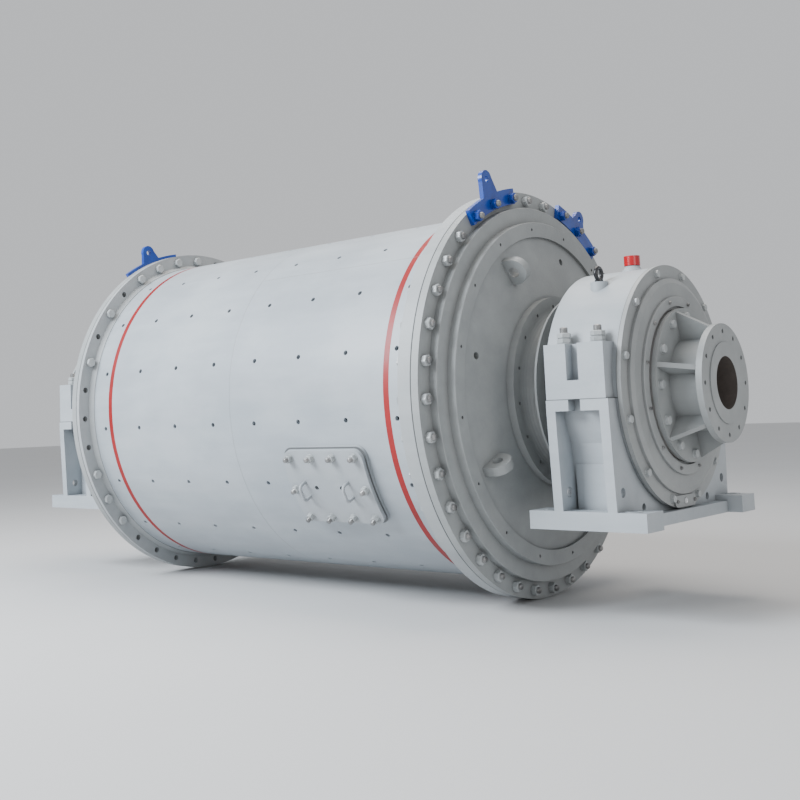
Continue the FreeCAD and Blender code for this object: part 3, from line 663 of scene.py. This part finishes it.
head_face = inward("feed_lifting_brackets", 1.0)
bracket_face = outward("feed_lifting_brackets", 1.0)
nuts, blue_nuts = [], []
for sign, turns, bracket_r in ((1.0, FEED_TURNS, BOLT_R + BRACKET_NUT_OUT),
                              (-1.0, HELD_TURNS, BOLT_R)):
    for angle in turns:
        if under_bracket(angle):
            blue_nuts += ring(bracket_face, sign, 1.0, [angle], bracket_r)
        else:
            nuts += ring(head_face, sign, 1.0, [angle], BOLT_R)
flange_back = outward("discharge_shell_flange", -1.0) - DISCHARGE_FLANGE_T
heads = ring(inward("feed_shell_flange", 1.0), 1.0, -1.0, FEED_TURNS, BOLT_R)
heads += ring(flange_back, -1.0, -1.0, HELD_TURNS, BOLT_R)
place("flange_nuts", M36_NUT, nuts, NUT_PAINT, "drum", "grey_paint", 11)
place("bracket_nuts", M36_NUT, blue_nuts, BLUE_PAINT, "drum", "blue_paint", 14)
place("flange_studs", M36_STUD, nuts + blue_nuts, STUD_STEEL, "drum", "grey_paint", 12)
place("flange_heads", M36_HEAD, heads, NUT_PAINT, "drum", "grey_paint", 13)
print("flange bolts:", len(nuts) + len(blue_nuts), "nuts and", len(heads), "heads")

# %% [markdown]
# ## Manhole bolts
#
# The manhole cover is a curved plate that is unbolted to change liners. Ten M27 studs are
# welded to its seat: four along the top edge, four along the bottom, and one at each end.

# %% Nuts on the curved cover
M27_NUT = nut("m27_nut", 0.041, 0.0238, 0.025, 0.004)
M27_STUD = stud("m27_stud", 0.0135, 0.027, 0.050, 0.003)
cover_lo, cover_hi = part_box("manhole_cover")
MANHOLE_S = (cover_lo.x + cover_hi.x) / 2 - MID_X
COVER_R = SHELL_R + 0.046       # outer face of the cover
OPENING_TURN = -26.6            # middle of the manhole
BOLTS_LOWER = 0.006             # the bolts sit this much lower on the shell than the opening
ROW_OFF = 0.193                 # from the middle of the cover to either row
MANHOLE_TURN = OPENING_TURN - math.degrees(BOLTS_LOWER / SHELL_R)
ROW_TURN = math.degrees(ROW_OFF / COVER_R)
ROW_S = (-0.24, -0.08, 0.08, 0.24)
END_S = 0.256
layout = [(s, row) for row in (-ROW_TURN, ROW_TURN) for s in ROW_S]
layout += [(-END_S, 0.0), (END_S, 0.0)]
cover_spots = []
for s, turn in layout:
    foot = on_axis(MANHOLE_S + s, 1.0, MANHOLE_TURN + turn, COVER_R)
    on_mill_axis = Vector((foot.x, 0.0, AXIS_Z))
    cover_spots.append((foot, (foot - on_mill_axis).normalized()))
place("manhole_nuts", M27_NUT, cover_spots, NUT_PAINT, "drum", "grey_paint", 21)
place("manhole_studs", M27_STUD, cover_spots, STUD_STEEL, "drum", "grey_paint", 22)
print("manhole cover is", round(cover_hi.x - cover_lo.x, 3), "m long, with", len(layout), "nuts")

# %% [markdown]
# ## Hubs and bearing covers
#
# Each hub is bolted to its trunnion through the base flange, between the gussets. The covers
# on the housing have a ring of hex bolts at the rim and small socket screws nearer the seal,
# and the oil sight plate has a screw at each end. Cap studs carry two nuts, one locking the
# other, because a bearing cap must not work loose. The sizes are M12, M24, M27 and M42.

# %% Bolts on both ends
M27_HEAD = bolt_head("m27_head", 0.041, 0.017, 0.025, 0.004)
M24_HEAD = bolt_head("m24_head", 0.036, 0.015, 0.022, 0.004)
M12_SCREW = socket_screw("m12_screw", 0.009, 0.010)
M42_NUTS = nut("m42_nuts", 0.065, 0.026, 0.039, 0.006, 2)
M42_STUD = stud("m42_stud", 0.021, 0.058, 0.089, 0.0045)
HUB_BASE_T = 0.024
COVER_STEPS_T = 0.043       # the rim of the outer cover lies this far behind its front
INNER_STEP_T = 0.016
HUB_BOLT_R = 0.363
RIM_BOLT_R = 0.612
COVER_SCREW_R = 0.450
INNER_BOLT_R = 0.571
CAP_STUD_S = 0.094          # either side of the bearing's middle
CAP_STUD_IN = 0.081         # in from the side of the cap
CAP_BLOCK_TOP = 0.222       # over the mill axis
SCREW_IN = 0.022
UP = Vector((0.0, 0.0, 1.0))


def middle(node):
    lo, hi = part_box(node)
    return (lo + hi) / 2


# %% Find their places and place them
hub_bolts, rim_bolts, cover_screws, plate_screws, cap_studs = [], [], [], [], []
for end, sign in ENDS:
    hub_bolts += ring(inward(end + "_hub", sign) + HUB_BASE_T, sign, 1.0, every(30.0, 0.0),
                      HUB_BOLT_R)
    front = outward(end + "_outer_cover", sign)
    rim_bolts += ring(front - COVER_STEPS_T, sign, 1.0, every(30.0, 14.0), RIM_BOLT_R)
    cover_screws += ring(front, sign, 1.0, every(30.0, 14.5), COVER_SCREW_R)
    inner_rim = inward(end + "_inner_cover", sign) + INNER_STEP_T
    rim_bolts += ring(inner_rim, sign, -1.0, every(30.0, 14.0), INNER_BOLT_R)
    lo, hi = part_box(end + "_sight_plate")
    plate_x = hi.x if sign > 0 else lo.x
    for y in (lo.y + SCREW_IN, hi.y - SCREW_IN):
        plate_screws.append((Vector((plate_x, y, (lo.z + hi.z) / 2)), Vector((sign, 0, 0))))
    bearing_x = middle(end + "_bearing_base").x
    stud_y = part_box(end + "_bearing_cap")[1].y - CAP_STUD_IN
    for side in (-1.0, 1.0):
        for s in (-CAP_STUD_S, CAP_STUD_S):
            spot = Vector((bearing_x + sign * s, side * stud_y, AXIS_Z + CAP_BLOCK_TOP))
            cap_studs.append((spot, UP))
place("hub_bolts", M27_HEAD, hub_bolts, NUT_PAINT, "drum", "grey_paint", 31)
place("cover_bolts", M24_HEAD, rim_bolts, NUT_PAINT, "bearings", "grey_paint", 32)
place("cover_screws", M12_SCREW, cover_screws + plate_screws, STUD_STEEL, "bearings",
      "grey_paint", 33)
place("cap_nuts", M42_NUTS, cap_studs, NUT_PAINT, "bearings", "grey_paint", 34)
place("cap_studs", M42_STUD, cap_studs, STUD_STEEL, "bearings", "grey_paint", 35)
print("on the ends:", len(hub_bolts), "hub bolts,", len(rim_bolts), "cover bolts,",
      len(cover_screws) + len(plate_screws), "screws,", len(cap_studs), "cap studs")

# %% [markdown]
# ## Breather boss, port plugs and sight glass
#
# The breather screws into a low cast boss on the crown of the cap, painted with the housing.
# On each side of a pedestal a zinc plated plug closes the water port in the rib next to the
# drum, with a square drive sunk in its face. The oil sight plate has a bull's eye glass.

# %% Cast boss and zinc plugs
def plug(name, r, length, drive):
    """Round plug with a sunken square drive in its top face."""
    bm = bmesh.new()
    turned(bm, [(0, 0), (r, 0), (r, length - 0.002), (r - 0.002, length)], 32)
    rim = sorted((v for v in bm.verts if abs(v.co.z - length) < 1e-6),
                 key=lambda v: math.atan2(v.co.y, v.co.x))
    top, low = [], []
    for v in rim:
        a = math.atan2(v.co.y, v.co.x)
        reach = drive / max(abs(math.cos(a)), abs(math.sin(a)))
        top.append(bm.verts.new((reach * math.cos(a), reach * math.sin(a), length)))
        low.append(bm.verts.new((reach * math.cos(a), reach * math.sin(a), length * 0.5)))
    for i in range(len(rim)):
        j = (i + 1) % len(rim)
        bm.faces.new((rim[i], rim[j], top[j], top[i]))
        bm.faces.new((top[i], top[j], low[j], low[i]))
    bm.faces.new(low)
    return finished(bm, name)


def boss(name):
    bm = bmesh.new()
    turned(bm, [(0, -0.01), (0.062, -0.01), (0.058, 0.004), (0.047, 0.012), (0.041, 0.026),
                (0.039, 0.029), (0, 0.029)], 40)
    return finished(bm, name)


def turned_lens(name, r, rise):
    """Bull's eye glass in a thin bezel."""
    bm = bmesh.new()
    turned(bm, [(0, 0), (r, 0), (r, rise * 0.7), (r * 0.85, rise), (r * 0.75, rise * 0.6),
                (r * 0.4, rise * 0.85), (0, rise * 0.95)], 36)
    return finished(bm, name)


PORT_PLUG = plug("port_plug", 0.0235, 0.018, 0.008)
BREATHER_BOSS = boss("breather_boss")
SIGHT_GLASS = turned_lens("sight_glass", 0.017, 0.006)
print("a port plug has", len(PORT_PLUG.data.polygons), "faces")

# %% Place them at both ends
BREATHER_H = 0.085          # crown of the cap to the top of the hood
PLUG_S = 0.140              # back of the plug, inboard of the bearing's middle
PORT_Y = 0.620
PORT_Z = -0.529             # from the mill axis
GLASS_SUNK = 0.001
boss_spots, plug_spots, glass_spots = [], [], []
for end, sign in ENDS:
    outboard = Vector((sign, 0.0, 0.0))
    foot = middle(end + "_breather")
    foot.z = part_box(end + "_breather")[1].z - BREATHER_H
    boss_spots.append((foot, UP))
    rib_x = middle(end + "_bearing_base").x - sign * PLUG_S
    for side in (-1.0, 1.0):
        plug_spots.append((Vector((rib_x, side * PORT_Y, AXIS_Z + PORT_Z)), outboard))
    lo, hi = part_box(end + "_sight_plate")
    face = hi.x if sign > 0 else lo.x
    glass_spots.append((Vector((face - sign * GLASS_SUNK, 0.0, (lo.z + hi.z) / 2)), outboard))
place("breather_bosses", BREATHER_BOSS, boss_spots, HOUSING_PAINT, "bearings", "grey_paint", 41)
place("sight_glasses", SIGHT_GLASS, glass_spots, BRIGHT_PLUG, "bearings", "black_steel", 43)
place("port_plugs", PORT_PLUG, plug_spots, BRIGHT_PLUG, "bearings", "black_steel", 42)
print("placed", len(boss_spots), "bosses,", len(glass_spots), "glasses,", len(plug_spots), "plugs")

# %% Hand every piece to its body and drop the patterns
for pattern in (M36_NUT, M36_STUD, M36_HEAD, M27_NUT, M27_STUD, M27_HEAD, M24_HEAD, M12_SCREW,
                M42_NUTS, M42_STUD, PORT_PLUG, BREATHER_BOSS, SIGHT_GLASS):
    bpy.data.objects.remove(pattern)
for piece, body, slot, count in placed:
    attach(piece, body)
    print(piece.name, count, "pieces,", len(piece.data.polygons), "faces, on", body)

# %% [markdown]
# ## The studio
#
# A pale floor and a bright, even room suit a machine that is nearly all grey. The key light
# comes from the drum's side and above, so faces along the shell are light and the end faces
# fall into a darker grey, which the darker paint of the end parts repeats as painted shade.
# A weak light from the feed end keeps the bolts there readable.

# %% Lights
def area_light(name, place_at, aim, size, power, colour):
    lamp = bpy.data.lights.new(name, "AREA")
    lamp.energy = power
    lamp.size = size
    lamp.color = colour
    holder = bpy.data.objects.new(name, lamp)
    SCENE.collection.objects.link(holder)
    holder.location = place_at
    holder.rotation_mode = "QUATERNION"
    holder.rotation_quaternion = (Vector(place_at) - Vector(aim)).to_track_quat("Z", "Y")


MIDDLE = (MID_X, 0.0, AXIS_Z)
area_light("key", (-5.0, -8.0, 6.0), MIDDLE, 5.0, 2050.0, (0.87, 0.935, 1.0))
area_light("top", (-2.0, 1.5, 7.5), MIDDLE, 5.0, 420.0, (1.0, 0.92, 0.83))
area_light("end_fill", (7.0, -3.5, 3.0), MIDDLE, 4.0, 110.0, (1.0, 0.98, 0.96))
print("lamps:", ", ".join(sorted(lamp.name for lamp in bpy.data.lights)))

# %% Floor and sky
FLOOR_HALF = 60.0
FLOOR_GAP = 0.003           # under the lowest point of the drum
floor_z = first_lo.z - FLOOR_GAP
corners = [(x * FLOOR_HALF, y * FLOOR_HALF, floor_z)
           for x, y in ((-1, -1), (1, -1), (1, 1), (-1, 1))]
floor_mesh = bpy.data.meshes.new("studio_floor")
floor_mesh.from_pydata(corners, [], [(0, 1, 2, 3)])
floor = bpy.data.objects.new("studio_floor", floor_mesh)
SCENE.collection.objects.link(floor)
floor_paint = Paint("studio_floor")
floor_paint.drive(Base_Color=floor_paint.mix(floor_paint.noise(0.6, 3.0), (0.56, 0.56, 0.56),
                                             (0.60, 0.60, 0.60)))
floor_paint.fix(Roughness=0.75)
floor_mesh.materials.append(floor_paint.material)

world = bpy.data.worlds.new("studio_sky")
SCENE.world = world
world.use_nodes = True
sky = world.node_tree.nodes["Background"]
sky.inputs["Color"].default_value = (0.95, 0.97, 1.0, 1.0)
sky.inputs["Strength"].default_value = 0.70
print("floor at", round(floor_z, 3), "m")

# %% [markdown]
# ## The camera
#
# The camera stands off the feed end, a little below the mill axis, so the drum runs away to
# the left and the flange rises above it. It leans by two degrees, and the lens is shifted
# because the machine sits off the middle of the view.

# %% Camera at the viewing angle
azimuth, elevation, lean = (math.radians(v) for v in (42.668, -5.047, -2.062))
back = Vector((math.sin(azimuth) * math.cos(elevation), -math.cos(azimuth) * math.cos(elevation),
               math.sin(elevation)))
level = Vector((math.cos(azimuth), math.sin(azimuth), 0.0))
upright = level.cross(-back)
right = level * math.cos(lean) + upright * math.sin(lean)
up = upright * math.cos(lean) - level * math.sin(lean)
lens = bpy.data.cameras.new("view")
lens.sensor_width = 36.0
lens.lens = 49.18
lens.shift_x = 0.1375
lens.shift_y = -0.0934
camera = bpy.data.objects.new("view", lens)
SCENE.collection.objects.link(camera)
place_camera = Matrix((right, up, back)).transposed().to_4x4()
place_camera.translation = Vector((MID_X + 4.781, -5.7165, AXIS_Z - 0.1216))
camera.matrix_world = place_camera
SCENE.camera = camera
print("camera", round((camera.location - Vector(MIDDLE)).length, 2), "m from mid-shell")
